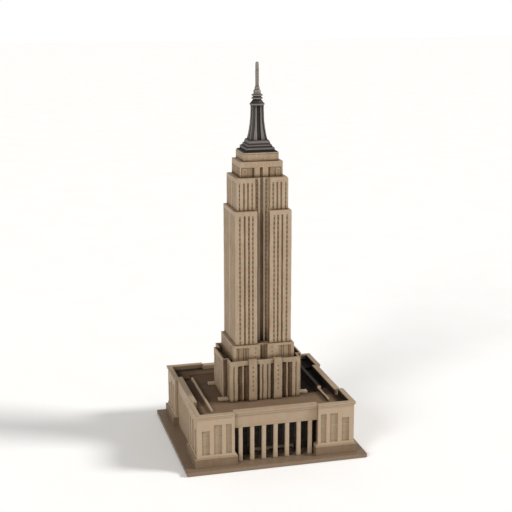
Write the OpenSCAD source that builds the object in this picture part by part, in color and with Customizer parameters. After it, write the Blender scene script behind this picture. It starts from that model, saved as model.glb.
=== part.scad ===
// Souvenir landmark model: a stepped tower with a metal mast, standing on a square
// podium with a colonnade. Each casting is a separate solid. A tie rod clamps the
// tower's blocks to the roof deck, and four screws hold the podium to the base plate.
// Millimetres. The origin is the middle of the base, on the surface it stands on.
// +Z is up, and the colonnade faces -Y.

/* [Base plate] */
// Width of the base plate, along X
plate_w = 144.4; // [143.4:0.2:150]
// Depth of the base plate, along Y
plate_d = 133; // [132:0.2:140]
// Thickness of the base plate
plate_t = 3.4; // [3:0.1:5]
// Diameter of the rubber feet
foot_d = 9; // [7:0.5:10]
// How far the feet stand out below the plate
foot_proud = 0.5; // [0.3:0.1:1]

/* [Podium] */
// Width over the corner pavilions' walls
podium_w = 125.8; // [125:0.2:127]
// Depth over the corner pavilions' walls
podium_d = 120; // [119.4:0.2:121]
// Height of the podium above the plate
podium_h = 41.8; // [40:0.2:44]
// Width of a corner pavilion along X
pavilion_w = 29.4; // [29.2:0.1:29.8]
// Depth of a corner pavilion along Y
pavilion_d = 30.5; // [30:0.1:31]
// Thickness of the castings' walls and parapets
wall_t = 3; // [2.6:0.1:3.4]
// How far the walls between the pavilions are set back
wing_setback = 2.7; // [2.4:0.1:3]
// Height of the plinth's upright face
plinth_h = 7.3; // [6:0.1:8]
// How far the plinth stands out
plinth_out = 2.1; // [1.5:0.1:2.4]
// How far the cornice stands out
cornice_out = 1.1; // [0.6:0.1:1.4]
// Height of the cornice
cornice_h = 2.4; // [2:0.1:3]
// Number of pilasters on each wall between the pavilions
pilasters = 13; // [9:1:15]

/* [Colonnade] */
// Distance between the columns
column_pitch = 9.35; // [9:0.05:9.4]
// Width of a column
column_w = 3.4; // [2.8:0.1:4]
// Depth of a column
column_d = 2.7; // [2.4:0.1:3]
// Height of the columns
column_h = 28.4; // [27:0.1:29]
// Depth of the porch behind the columns' faces
porch_d = 12.6; // [11:0.1:14]

/* [Roof] */
// How far the roof lies below the podium's top
roof_drop = 5.2; // [5:0.1:6]
// Thickness of the roof deck
deck_t = 2.5; // [2:0.1:3]
// Height of the deck's raised back edge
deck_step = 1.7; // [1:0.1:2]

/* [Tower] */
// Width of the tower's base block
base_block_w = 57.4; // [56:0.2:58]
// Depth of the tower's base block
base_block_d = 51.2; // [50:0.2:52]
// Height of the base block above the roof
base_block_h = 33.6; // [30:0.2:36]
// Width of the second block
second_block_w = 49.8; // [49:0.2:50.4]
// Depth of the second block
second_block_d = 42.8; // [42:0.2:44]
// Height of the second block above the base block's rim
second_block_h = 11.2; // [9:0.2:13]
// Width of the shaft
shaft_w = 45.2; // [44.8:0.2:46]
// Depth of the shaft
shaft_d = 40; // [39.6:0.2:40.6]
// Height of the shaft
shaft_h = 107.4; // [90:0.2:120]
// Width of the upper block
upper_block_w = 41; // [40.6:0.2:42]
// Depth of the upper block
upper_block_d = 34.4; // [34:0.2:35]
// Height of the upper block
upper_block_h = 25.3; // [20:0.1:30]
// Width of the crown block
crown_block_w = 34.2; // [33.8:0.2:36]
// Depth of the crown block
crown_block_d = 26.4; // [26:0.2:27]
// Height of the crown block
crown_block_h = 12.4; // [10:0.1:15]
// Width of the cap block
cap_block_w = 28; // [27:0.2:29]
// Depth of the cap block
cap_block_d = 25.4; // [25:0.2:26]
// Height of the cap block
cap_block_h = 6.8; // [5:0.1:9]
// Half the width of the shaft's tall recess, in the front and back
recess_half_w = 5; // [4.6:0.1:5.4]
// Half the width of the same recess in the upper block
upper_recess_half_w = 6; // [5.6:0.1:6.2]
// Diameter of the tie rod
rod_d = 4; // [3:0.5:4.5]

/* [Mast] */
// Height of the mast's stepped pedestal
pedestal_h = 8; // [6:0.1:9]
// Height of the mast's body
mast_body_h = 26.3; // [22:0.1:30]
// Half width of the body at its foot
mast_foot_half = 6.8; // [6:0.1:7.4]
// Half width of the body at its top
mast_top_half = 4.4; // [4:0.1:4.6]
// Height of the antenna above the mast's collar
antenna_h = 24.5; // [20:0.1:30]
// Radius of the antenna
antenna_r = 1.42; // [1.2:0.02:1.6]

/* [Hidden] */
COLUMNS = 7;
STUBS = 4;
$fn = 48;
eps = 0.01;

// Heights of the levels, from the surface that the model stands on
plate_z = foot_proud;
floor_z = plate_z + plate_t;
podium_z = floor_z + podium_h;
roof_z = podium_z - roof_drop;
deck_z = roof_z - deck_t;
base_block_z = roof_z + base_block_h;
second_block_z = base_block_z + second_block_h;
shaft_z = second_block_z + shaft_h;
upper_block_z = shaft_z + upper_block_h;
crown_block_z = upper_block_z + crown_block_h;
cap_block_z = crown_block_z + cap_block_h;
slab_h = 0.9;
pedestal_z = cap_block_z + slab_h;
mast_body_z = pedestal_z + pedestal_h;
collar_z = mast_body_z + mast_body_h;
collar_h = 8.6;
antenna_z = collar_z + collar_h;

// Base plate and what is fixed to it
plate_edge = 0.5;
foot_x = plate_w / 2 - 8.5;
foot_y = plate_d / 2 - 8.5;
foot_sunk = 1;
screw_x = 54.5;
screw_y = 51;
screw_hole_d = 3.2;
screw_head_d = 6;
screw_head_h = 1.6;
screw_len = 11;
pilot_d = 2.4;
post_w = 8;

// Podium
weathering_h = 2.2;
frieze_z = floor_z + column_h;
wing_face = podium_w / 2 - wing_setback;
wing_in = podium_w / 2 - 6.4;
rear_face = podium_d / 2 - wing_setback;
rear_in = podium_d / 2 - 6.9;
front_face = podium_d / 2 - wing_setback;
ledge_w = 2;
pav_x = podium_w / 2 - pavilion_w;
pav_y = podium_d / 2 - pavilion_d;
plinth_top = floor_z + plinth_h;
sill_z = plinth_top + weathering_h;
plinth_wrap = 6;
column_y = -(front_face - 0.2 - column_d / 2);
porch_y = -(front_face - 0.2) + porch_d;
porch_wall_t = 3;
porch_ribs = 14;
// Door canopy and steps on the porch's back wall
canopy_half_w = 17.5;
canopy_out = 2.6;
canopy_top = 5.2;
door_pitch = 7;
door_half_w = 2.4;
step_h = 0.6;
step_run = 0.6;
gap = 0.02;
// Windows of a pavilion: first and last distance from its outer corner, and head height
pavilion_windows = [[3.8, 9.8, 19.6], [13.2, 19.5, 23.9], [22.6, 27.1, 23.9]];
window_deep = 0.9;

// Roof
ridge_x = 47.5;
ridge_w = 1.7;
ridge_h = 2.6;
ridge_y = [-43, 33];
bulkhead_y = [-17, 33];
bulkhead_h = 1;
step_y = 42;
step_x = 48.5;
step_side_y = 34;
stub_w = 4.6;
stub_h = 2.3;
stub_len = 8.3;
stub_y = 18.5;

// Tower
rim_t = 1.2;
gutter_deep = 5;
seat_drop = 1;
band_h = 3.3;
second_band_h = 1.8;
crown_band_h = 4.4;
// The niche in the middle of the second block's front and back
niche_half_w = 3.1;
niche_deep = 3;
// The raised panels low on the cap block's front and back
panel_x = [1.6, 5.9];
panel_out = 0.4;
panel_h = 2.9;
// The recess's floor, measured from the tower's middle, its two ribs and the channel between
recess_y = 13.1;
rib_x = [1.3, 2.9];
rib_out = 1;
channel_deep = 1;
rod_hole_d = rod_d + 0.4;
spigot_h = 1.2;
spigot_d = 12;
spigot_gap = 0.2;
// Grooves: first and last distance from the middle of the face, and depth. The piers that
// follow stand out from the base block's front and back, and bays stand out from its sides
base_front = [[1.4, 2.6, 1], [4.4, 7, 1.9], [13.5, 17.6, 1.9], [18.6, 22.4, 1.9], [25, 26, 0.5]];
base_side = [[18.6, 20, 0.6], [22, 23.2, 0.5]];
bay_side = [[1, 3, 0.6], [5, 6.2, 0.6], [8.4, 10.4, 0.6], [12.4, 13.6, 0.6]];
second_front = [[12, 22.4, 0.6], [14, 15, 1], [16, 17, 1], [20.1, 21.1, 1]];
second_side = [[1, 3, 0.6], [5.4, 7.2, 0.6], [9.4, 12, 0.9], [14.4, 17, 0.9]];
shaft_front = [[7.9, 9.3, 0.4], [11, 12.4, 0.7], [14.4, 15.8, 1], [18.2, 19.6, 0.4]];
shaft_side = [[2, 4.2, 0.4], [5.8, 7.4, 1], [9.2, 11.2, 0.4], [12.8, 14.2, 1], [15.4, 17.4, 0.4]];
upper_front = [[7.8, 9, 0.4], [11, 12.4, 0.8], [14.2, 15.6, 0.8], [18, 19, 0.4]];
upper_side = [[2, 4, 0.4], [5.6, 7, 0.8], [9, 10.8, 0.4], [12.4, 14.4, 0.4]];
crown_front = [[0, 1.2, 1], [5.5, 7.2, 1], [7.2, 11.8, 0.5]];
crown_side = [[2, 4, 0.5], [7.4, 10.6, 0.5]];
pier_x = [7, 13.5];
pier_out = 1.6;
pier_rise = 0.6;
pier_root = 2;
bay_out = 3.6;
bay_half = 16;

// Mast: the slab's half sizes, and the pedestal's three steps
slab_x = 13.4;
slab_y = 12.1;
step1_half = 11.3;
step1_h = 2.9;
step2_half = 9.6;
step2_h = 2.1;
step3_half = 8.4;
mast_rod_in = 8;
mast_groove_half = 1.5;
mast_groove_deep = 0.9;
flare_steps = 8;
flare_power = 2.4;
eave_r = 5.9;
ring_r = 4.4;
collar_spigot_r = 1.6;
collar_spigot_h = 3;
antenna_spigot_r = 1.1;
antenna_spigot_h = 3;

// Tie rod
washer_d = 12;
washer_t = 1;
nut_w = 7;
nut_h = 3.2;
rod_below = 8;

paint = "#AF9B82";
paint_dark = "#786352";
pewter = "#5F5954";

// A box from its lowest corner to its highest corner
module span(low, high) { translate(low) cube(high - low); }

// Its children and their reflections in X and in Y
module four_ways() {
    for (a = [0, 1]) for (b = [0, 1]) mirror([a, 0, 0]) mirror([0, b, 0]) children();
}

// --- Base ---

module base_plate() {
    color(paint_dark) difference() {
        union() {
            span([-plate_w / 2, -plate_d / 2, plate_z],
                 [plate_w / 2, plate_d / 2, floor_z - plate_edge]);
            span([-plate_w / 2 + plate_edge, -plate_d / 2 + plate_edge, plate_z],
                 [plate_w / 2 - plate_edge, plate_d / 2 - plate_edge, floor_z]);
        }
        four_ways() {
            translate([foot_x, foot_y, plate_z - eps]) cylinder(d = foot_d, h = foot_sunk + eps);
            translate([screw_x, screw_y, plate_z - 1]) cylinder(d = screw_hole_d, h = plate_t + 2);
            translate([screw_x, screw_y, plate_z - eps])
                cylinder(d1 = screw_head_d + 0.4, d2 = screw_hole_d, h = screw_head_h + 0.2);
        }
    }
}

module rubber_feet() {
    color("#2A2725") four_ways() translate([foot_x, foot_y, 0]) rotate_extrude()
        polygon([[0, 0], [foot_d / 2 - 0.8, 0], [foot_d / 2 - 0.2, 0.4],
                 [foot_d / 2 - 0.1, foot_proud + foot_sunk], [0, foot_proud + foot_sunk]]);
}

module base_screws() {
    color("silver") four_ways() translate([screw_x, screw_y, plate_z]) difference() {
        rotate_extrude() polygon([
            [0, 0.1], [screw_head_d / 2, 0.1], [pilot_d / 2, screw_head_h],
            [pilot_d / 2, screw_len - 1.5], [0, screw_len]]);
        for (a = [0, 90]) rotate(a) translate([-1.6, -0.35, 0]) cube([3.2, 0.7, 1]);
    }
}

// --- Podium ---

// One corner pavilion, in the quadrant where X and Y are positive
module pavilion() {
    x = podium_w / 2;
    y = podium_d / 2;
    difference() {
        union() {
            span([pav_x, pav_y, floor_z], [x, y, deck_z]);
            span([pav_x, y - wall_t, deck_z - eps], [x, y, podium_z]);
            span([x - wall_t, pav_y, deck_z - eps], [x, y, podium_z]);
            for (s = [[plinth_out, 0], [plinth_out * 0.6, 0.9], [plinth_out * 0.25, weathering_h]])
                plinth_course(s[0], plinth_top + s[1]);
            for (s = [[cornice_out, 0.2, 1.1], [cornice_out * 0.5, 1.1, cornice_h]])
                cornice_course(s[0], podium_z - s[2], podium_z - s[1]);
        }
        span([pav_x + wall_t, pav_y + wall_t, floor_z - 1], [x - wall_t, y - wall_t, deck_z + 1]);
        for (w = pavilion_windows) {
            span([x - w[1], y - window_deep, sill_z], [x - w[0], y + 1, sill_z + w[2]]);
            span([x - window_deep, y - w[1], sill_z], [x + 1, y - w[0], sill_z + w[2]]);
        }
    }
    difference() {
        span([screw_x - post_w / 2, screw_y - post_w / 2, floor_z],
             [x - wall_t, y - wall_t, deck_z - 1]);
        translate([screw_x, screw_y, floor_z - 1]) cylinder(d = pilot_d, h = screw_len + 1);
    }
}

module plinth_course(out, top) {
    x = podium_w / 2;
    y = podium_d / 2;
    span([pav_x - out, y - plinth_wrap, floor_z], [x + out, y + out, top]);
    span([x - plinth_wrap, pav_y - out, floor_z], [x + out, y + out, top]);
}

module cornice_course(out, bottom, top) {
    x = podium_w / 2;
    y = podium_d / 2;
    span([pav_x, y - wall_t, bottom], [x + out, y + out, top]);
    span([x - wall_t, pav_y, bottom], [x + out, y + out, top]);
}

module front_left_pavilion() { color(paint) mirror([1, 0, 0]) mirror([0, 1, 0]) pavilion(); }
module front_right_pavilion() { color(paint) mirror([0, 1, 0]) pavilion(); }
module rear_left_pavilion() { color(paint) mirror([1, 0, 0]) pavilion(); }
module rear_right_pavilion() { color(paint) pavilion(); }

// A wall between two pavilions. It stands on the +X side of its own frame: face is its
// outer face, inner its inner face, half the half length, and foot_half that at the foot.
module wing_wall(face, inner, half, foot_half) {
    pitch = 2 * foot_half / pilasters;
    difference() {
        union() {
            span([inner - ledge_w, -foot_half, floor_z], [face, foot_half, deck_z]);
            span([inner, -half, sill_z], [face, half, podium_z]);
            span([inner, -half, podium_z - cornice_h], [face + cornice_out, half, podium_z - 0.2]);
        }
        for (i = [1:pilasters - 1]) {
            y = -foot_half + i * pitch;
            span([face - 1, y - pitch * 0.28, floor_z + 2], [face + 1, y + pitch * 0.28, frieze_z]);
        }
    }
}

module left_wing_wall() {
    color(paint) mirror([1, 0, 0]) wing_wall(wing_face, wing_in, pav_y, pav_y - plinth_out);
}
module right_wing_wall() {
    color(paint) wing_wall(wing_face, wing_in, pav_y, pav_y - plinth_out);
}
module rear_wing_wall() {
    color(paint) rotate(90) wing_wall(rear_face, rear_in, pav_x, pav_x - plinth_out);
}

// --- Portico ---

module portico_entablature() {
    color(paint) {
        span([-pav_x, -front_face, frieze_z], [pav_x, -rear_in, podium_z]);
        span([-pav_x, -front_face - 0.5, podium_z - 3.6], [pav_x, -rear_in, podium_z]);
        span([-pav_x, -front_face - cornice_out, podium_z - 1.8], [pav_x, -rear_in, podium_z - 0.8]);
    }
}

module portico_column(i) {
    color(paint) translate([(i - (COLUMNS + 1) / 2) * column_pitch, column_y, floor_z])
        linear_extrude(column_h) difference() {
            square([column_w, column_d], center = true);
            for (a = [0, 1]) for (b = [0, 1]) mirror([a, 0]) mirror([0, b])
                translate([column_w / 2, column_d / 2]) rotate(45) square(0.9, center = true);
        }
}

module portico_back_wall() {
    pitch = 2 * pav_x / porch_ribs;
    color(paint_dark) {
        span([-pav_x, porch_y, floor_z], [pav_x, porch_y + porch_wall_t, deck_z]);
        for (i = [1:porch_ribs - 1]) {
            x = -pav_x + i * pitch;
            span([x - 0.8, porch_y - 0.7, floor_z + 6.5], [x + 0.8, porch_y + eps, deck_z]);
        }
    }
}

module portico_canopy() {
    color(paint_dark) difference() {
        span([-canopy_half_w, porch_y - canopy_out, floor_z + 2 * step_h],
             [canopy_half_w, porch_y - gap, floor_z + canopy_top]);
        for (i = [-2:2]) {
            x = i * door_pitch;
            span([x - door_half_w, porch_y - canopy_out - 1, floor_z],
                 [x + door_half_w, porch_y - 0.5, floor_z + canopy_top - 1.4]);
        }
    }
}

module portico_steps() {
    color(paint_dark) for (i = [0, 1])
        span([-canopy_half_w - 1 + i / 2, porch_y - canopy_out - 1 + i * step_run, floor_z],
             [canopy_half_w + 1 - i / 2, porch_y - gap, floor_z + (i + 1) * step_h]);
}

// --- Roof ---

module roof_deck() {
    x = podium_w / 2 - wall_t;
    y = podium_d / 2 - wall_t;
    color(paint_dark) difference() {
        union() {
            span([-wing_in, -rear_in, deck_z], [wing_in, rear_in, roof_z]);
            four_ways() span([pav_x, pav_y, deck_z], [x, y, roof_z]);
            span([-wing_in, step_y, roof_z - eps], [wing_in, rear_in, roof_z + deck_step]);
            for (a = [0, 1]) mirror([a, 0, 0]) {
                span([pav_x, step_y, roof_z - eps], [x, y, roof_z + deck_step]);
                span([step_x, step_side_y, roof_z - eps], [x, y, roof_z + deck_step]);
            }
        }
        translate([0, 0, deck_z - 1]) cylinder(d = rod_hole_d, h = deck_t + 2);
    }
}

module roof_ridge_left() {
    color(paint) span([-ridge_x - ridge_w / 2, ridge_y[0], roof_z],
                      [-ridge_x + ridge_w / 2, ridge_y[1], roof_z + ridge_h]);
}

module roof_ridge_right() {
    color(paint) {
        span([ridge_x - ridge_w / 2, ridge_y[0], roof_z],
             [ridge_x + ridge_w / 2, ridge_y[1], roof_z + ridge_h]);
        span([ridge_x - ridge_w / 2, bulkhead_y[0], roof_z],
             [ridge_x + ridge_w / 2 + 1.2, bulkhead_y[1], roof_z + ridge_h + bulkhead_h]);
    }
}

// The low bars that run out from the base block, numbered from the front left
module roof_stub(i) {
    sx = i % 2 == 1 ? -1 : 1;
    sy = i <= 2 ? -1 : 1;
    color(paint) translate([sx * (base_block_w / 2 + stub_len / 2), sy * stub_y, roof_z + stub_h / 2])
        cube([stub_len, stub_w, stub_h], center = true);
}

// --- Tower ---

// A block of the tower standing at z, with the tie rod's hole and grooves that stop below
// a plain top band. A round spigot on top enters the next block's socket.
module block(w, d, z, h, front, side, band, spigot = true, socket = true) {
    difference() {
        union() {
            span([-w / 2, -d / 2, z], [w / 2, d / 2, z + h]);
            if (spigot) translate([0, 0, z + h - eps]) cylinder(d = spigot_d, h = spigot_h + eps);
        }
        four_ways() {
            for (g = front) span([g[0], d / 2 - g[2], z - 1], [g[1], d / 2 + 1, z + h - band]);
            for (g = side) span([w / 2 - g[2], g[0], z - 1], [w / 2 + 1, g[1], z + h - band]);
        }
        translate([0, 0, z - 1]) cylinder(d = rod_hole_d, h = h + spigot_h + 3);
        if (socket) translate([0, 0, z - eps])
            cylinder(d = spigot_d + spigot_gap, h = spigot_h + 0.2);
    }
}

// The tall recess in the front and back, with two ribs and a channel between them
module recess(half_w, d, bottom, top) {
    for (s = [0, 1]) mirror([0, s, 0]) {
        difference() {
            span([-half_w, recess_y, bottom], [half_w, d / 2 + 1, top]);
            for (a = [0, 1]) mirror([a, 0, 0])
                span([rib_x[0], recess_y - 1, bottom - 1], [rib_x[1], recess_y + rib_out, top + 1]);
        }
        span([-rib_x[0], recess_y - channel_deep, bottom], [rib_x[0], recess_y + 1, top]);
    }
}

// The gutter behind the base block's rim
module gutter() {
    w = base_block_w / 2 - rim_t;
    d = base_block_d / 2 - rim_t;
    bottom = base_block_z - gutter_deep;
    span([-w, -d, bottom], [w, d, base_block_z + 1]);
    span([-w - bay_out, -bay_half + rim_t, bottom], [w + bay_out, bay_half - rim_t, base_block_z + 1]);
}

module tower_base_block() {
    w = base_block_w / 2;
    d = base_block_d / 2;
    color(paint) difference() {
        union() {
            block(base_block_w, base_block_d, roof_z, base_block_h, base_front, base_side, band_h,
                  spigot = false, socket = false);
            four_ways() difference() {
                span([w - 2 * rim_t, -eps, roof_z], [w + bay_out, bay_half, base_block_z]);
                for (g = bay_side) span([w + bay_out - g[2], g[0], roof_z - 1],
                                        [w + bay_out + 1, g[1], base_block_z - band_h]);
            }
            four_ways() span([pier_x[0], d - pier_root, roof_z],
                             [pier_x[1], d + pier_out, base_block_z + pier_rise]);
        }
        difference() {
            gutter();
            span([-second_block_w / 2, -second_block_d / 2, roof_z],
                 [second_block_w / 2, second_block_d / 2, base_block_z - seat_drop]);
        }
    }
}

module tower_second_block() {
    z = base_block_z - seat_drop;
    d = second_block_d / 2;
    color(paint) difference() {
        block(second_block_w, second_block_d, z, second_block_h + seat_drop,
              second_front, second_side, second_band_h, socket = false);
        for (s = [0, 1]) mirror([0, s, 0])
            span([-niche_half_w, d - niche_deep, z - 1], [niche_half_w, d + 1, second_block_z + 1]);
    }
}

module tower_shaft() {
    color(paint) difference() {
        block(shaft_w, shaft_d, second_block_z, shaft_h, shaft_front, shaft_side, band_h);
        recess(recess_half_w, shaft_d, second_block_z - 1, shaft_z + spigot_h + 1);
    }
}

module tower_upper_block() {
    color(paint) difference() {
        block(upper_block_w, upper_block_d, shaft_z, upper_block_h, upper_front, upper_side, band_h);
        recess(upper_recess_half_w, upper_block_d, shaft_z - 1, upper_block_z + spigot_h + 1);
    }
}

module crown_block() {
    color(paint) block(crown_block_w, crown_block_d, upper_block_z, crown_block_h,
                       crown_front, crown_side, crown_band_h);
}

module cap_block() {
    color(paint) {
        block(cap_block_w, cap_block_d, crown_block_z, cap_block_h, [], [], 0, spigot = false);
        four_ways() span([panel_x[0], cap_block_d / 2 - 1, crown_block_z],
                         [panel_x[1], cap_block_d / 2 + panel_out, crown_block_z + panel_h]);
    }
}

// --- Mast ---

module mast_base_slab() {
    color("#1C1A19") difference() {
        span([-slab_x, -slab_y, cap_block_z], [slab_x, slab_y, pedestal_z]);
        translate([0, 0, cap_block_z - 1]) cylinder(d = rod_hole_d, h = slab_h + 2);
    }
}

// A square course of the pedestal, its half width from h0 at the foot to h1 at the top
module course(z0, z1, h0, h1) {
    intersection_for(a = [0, 90]) rotate([90, 0, a]) linear_extrude(3 * h0, center = true)
        polygon([[-h0, z0], [h0, z0], [h1, z1], [-h1, z1]]);
}

module mast_pedestal() {
    z1 = pedestal_z + step1_h;
    z2 = z1 + step2_h;
    color(pewter) difference() {
        union() {
            course(pedestal_z, z1 - 0.8, step1_half, step1_half);
            course(z1 - 0.81, z1, step1_half, step1_half - 0.8);
            course(z1 - eps, z2 - 0.7, step2_half, step2_half);
            course(z2 - 0.71, z2, step2_half, step2_half - 0.7);
            course(z2 - eps, mast_body_z, step3_half, step3_half - 0.7);
        }
        translate([0, 0, pedestal_z - 1]) cylinder(d = rod_hole_d, h = pedestal_h + 2);
    }
}

// Half width of the mast's body at u, from 0 at its foot to 1 at its top
function flare(u) = mast_top_half + (mast_foot_half - mast_top_half) * pow(1 - u, flare_power);

module flared_prism(inset) {
    right = [for (i = [0:flare_steps]) let (u = i / flare_steps)
        [flare(u) - inset, mast_body_z + u * mast_body_h]];
    left = [for (i = [flare_steps:-1:0]) let (u = i / flare_steps)
        [-flare(u) + inset, mast_body_z + u * mast_body_h]];
    intersection_for(a = [0, 90]) rotate([90, 0, a]) linear_extrude(20, center = true)
        polygon(concat(right, left));
}

module mast_body() {
    color(pewter) difference() {
        union() {
            flared_prism(mast_groove_deep);
            difference() {
                flared_prism(0);
                for (a = [0, 90]) rotate(a)
                    span([-mast_groove_half, -10, mast_body_z - 1], [mast_groove_half, 10, collar_z + 1]);
            }
        }
        translate([0, 0, mast_body_z - 1]) cylinder(d = rod_d, h = mast_rod_in + 1);
        translate([0, 0, collar_z - collar_spigot_h]) cylinder(r = collar_spigot_r, h = collar_spigot_h + 1);
    }
}

module mast_collar() {
    s = collar_spigot_r - 0.03;
    color(pewter) translate([0, 0, collar_z]) difference() {
        rotate_extrude() polygon([
            [0, -collar_spigot_h + 0.2], [s, -collar_spigot_h + 0.2], [s, 0],
            [eave_r - 0.5, 0], [eave_r, 0.6], [eave_r, 1.2], [3.6, 3.9], [3.3, 4.2], [3.3, 4.7],
            [ring_r, 5], [ring_r, 5.9], [3.3, 6.2], [3.3, 7], [ring_r, 7.3], [ring_r, 8.2],
            [3.4, collar_h], [0, collar_h]]);
        translate([0, 0, collar_h - antenna_spigot_h]) cylinder(r = antenna_spigot_r, h = antenna_spigot_h + 1);
    }
}

module antenna() {
    s = antenna_spigot_r - 0.03;
    r = antenna_r;
    color("#88807A") translate([0, 0, antenna_z]) rotate_extrude() polygon([
        [0, -antenna_spigot_h + 0.2], [s, -antenna_spigot_h + 0.2], [s, 0],
        [2.85, 0], [2.85, 2.8], [2.5, 3.2], [2, 3.4], [2, 5.1], [r + 0.1, 5.6], [r, 7],
        [r, antenna_h - 8], [r - 0.15, antenna_h - 4], [r - 0.4, antenna_h - 1],
        [r - 0.8, antenna_h - 0.2], [0, antenna_h]]);
}

// --- Tie rod ---

module tie_rod() {
    color("silver") translate([0, 0, deck_z - rod_below])
        cylinder(d = rod_d, h = mast_body_z + mast_rod_in - 0.5 - deck_z + rod_below);
}

module tie_washer() {
    color("silver") translate([0, 0, deck_z - washer_t]) difference() {
        cylinder(d = washer_d, h = washer_t);
        translate([0, 0, -1]) cylinder(d = rod_hole_d, h = washer_t + 2);
    }
}

module tie_nut() {
    color("silver") translate([0, 0, deck_z - washer_t - nut_h]) difference() {
        cylinder(d = nut_w / cos(30), h = nut_h, $fn = 6);
        translate([0, 0, -1]) cylinder(d = rod_d, h = nut_h + 2, $fn = 48);
    }
}

base_plate();
rubber_feet();
base_screws();
front_left_pavilion();
front_right_pavilion();
rear_left_pavilion();
rear_right_pavilion();
left_wing_wall();
right_wing_wall();
rear_wing_wall();
portico_entablature();
portico_back_wall();
portico_canopy();
portico_steps();
roof_deck();
roof_ridge_left();
roof_ridge_right();
tower_base_block();
tower_second_block();
tower_shaft();
tower_upper_block();
crown_block();
cap_block();
mast_base_slab();
mast_pedestal();
mast_body();
mast_collar();
antenna();
tie_rod();
tie_washer();
tie_nut();
for (i = [1:COLUMNS]) portico_column(i);
for (i = [1:STUBS]) roof_stub(i);
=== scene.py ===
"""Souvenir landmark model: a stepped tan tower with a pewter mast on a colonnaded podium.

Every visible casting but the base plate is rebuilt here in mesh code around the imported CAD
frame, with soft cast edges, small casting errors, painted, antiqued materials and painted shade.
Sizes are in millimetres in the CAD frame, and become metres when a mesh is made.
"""
import math

import bpy
import numpy as np
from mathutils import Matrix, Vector, noise


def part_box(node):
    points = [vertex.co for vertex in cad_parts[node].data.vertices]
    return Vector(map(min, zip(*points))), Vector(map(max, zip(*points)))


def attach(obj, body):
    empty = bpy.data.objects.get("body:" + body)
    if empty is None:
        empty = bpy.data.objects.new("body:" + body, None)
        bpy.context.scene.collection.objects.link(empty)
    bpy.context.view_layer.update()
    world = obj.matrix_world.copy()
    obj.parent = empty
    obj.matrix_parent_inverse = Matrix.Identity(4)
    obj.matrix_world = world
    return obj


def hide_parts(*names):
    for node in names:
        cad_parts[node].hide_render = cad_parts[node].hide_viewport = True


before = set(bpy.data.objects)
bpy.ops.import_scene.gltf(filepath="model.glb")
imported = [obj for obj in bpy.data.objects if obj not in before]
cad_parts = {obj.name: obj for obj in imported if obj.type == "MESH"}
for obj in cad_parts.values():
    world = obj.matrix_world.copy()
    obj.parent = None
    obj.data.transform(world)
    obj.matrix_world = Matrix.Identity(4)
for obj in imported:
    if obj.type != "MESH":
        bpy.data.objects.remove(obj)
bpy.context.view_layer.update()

MM = 0.001
# Blender seeds its noise from the clock, so without this line no two runs would be the same
noise.seed_set(1)


def box_mm(node):
    """A CAD node's lowest and highest corner, in millimetres."""
    low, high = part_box(node)
    return np.array(low) / MM, np.array(high) / MM


# --- Levels and plan, read from the CAD nodes ---

_, plate_high = box_mm("base_plate")
_, pavilion_high = box_mm("rear_right_pavilion")
wing_low, wing_high = box_mm("right_wing_wall")
rear_low, rear_high = box_mm("rear_wing_wall")
frieze_low, frieze_high = box_mm("portico_entablature")
porch_low, porch_high = box_mm("portico_back_wall")
base_low, base_high = box_mm("tower_base_block")
second_low, second_high = box_mm("tower_second_block")
shaft_low, shaft_high = box_mm("tower_shaft")
upper_low, upper_high = box_mm("tower_upper_block")
crown_low, crown_high = box_mm("crown_block")
cap_low, cap_high = box_mm("cap_block")
slab_low, slab_high = box_mm("mast_base_slab")
pedestal_low, _ = box_mm("mast_pedestal")
mast_low, mast_high = box_mm("mast_body")
_, collar_high = box_mm("mast_collar")
_, antenna_high = box_mm("antenna")

SPIGOT = 1.2  # each tower block's spigot, which is hidden in the next block
floor_z = plate_high[2]
podium_z = pavilion_high[2]
frieze_z = frieze_low[2]
deck_z = porch_high[2]
roof_z = base_low[2]
second_z = shaft_low[2]
shaft_z = upper_low[2]
upper_z = crown_low[2]
crown_z = cap_low[2]
cap_z = slab_low[2]

PLINTH_OUT = 2.1
CORNICE_OUT = 1.1
WALL = 3.0
podium_x = pavilion_high[0] - PLINTH_OUT
podium_y = pavilion_high[1] - PLINTH_OUT
pavilion_x = frieze_high[0]
pavilion_y = wing_high[1]
plinth_z = floor_z + 7.3
sill_z = plinth_z + 2.2


# --- Solids made of boxes ---

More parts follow.
